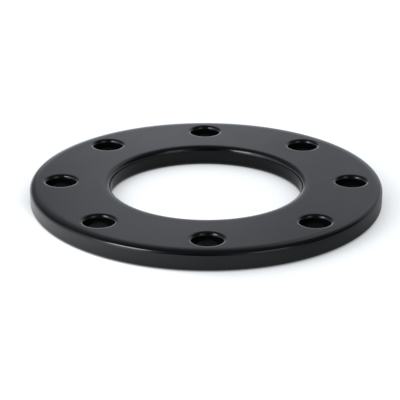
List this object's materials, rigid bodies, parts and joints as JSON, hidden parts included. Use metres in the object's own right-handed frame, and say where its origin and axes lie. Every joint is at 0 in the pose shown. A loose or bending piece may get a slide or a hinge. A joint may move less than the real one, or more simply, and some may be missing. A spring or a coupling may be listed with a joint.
{
  "type": "flange plate",
  "caption": "Round flange plate: a flat black coated ring with a plain central bore, a circle of eight bolt holes and softly rolled edges all over.",
  "frame": {"origin": "centre of the bore, on the bottom face that the plate lies on", "axes": "+Z along the bore, from the bottom face to the top face; +X through the centre of one bolt hole; +Y through the centre of another, a quarter turn on"},
  "size_m": [0.216, 0.216, 0.0124],
  "materials": {
    "black_coating": "smooth gloss black coating on steel"
  },
  "bodies": {
    "root": {"flange_plate": "black_coating"}
  },
  "joints": []
}
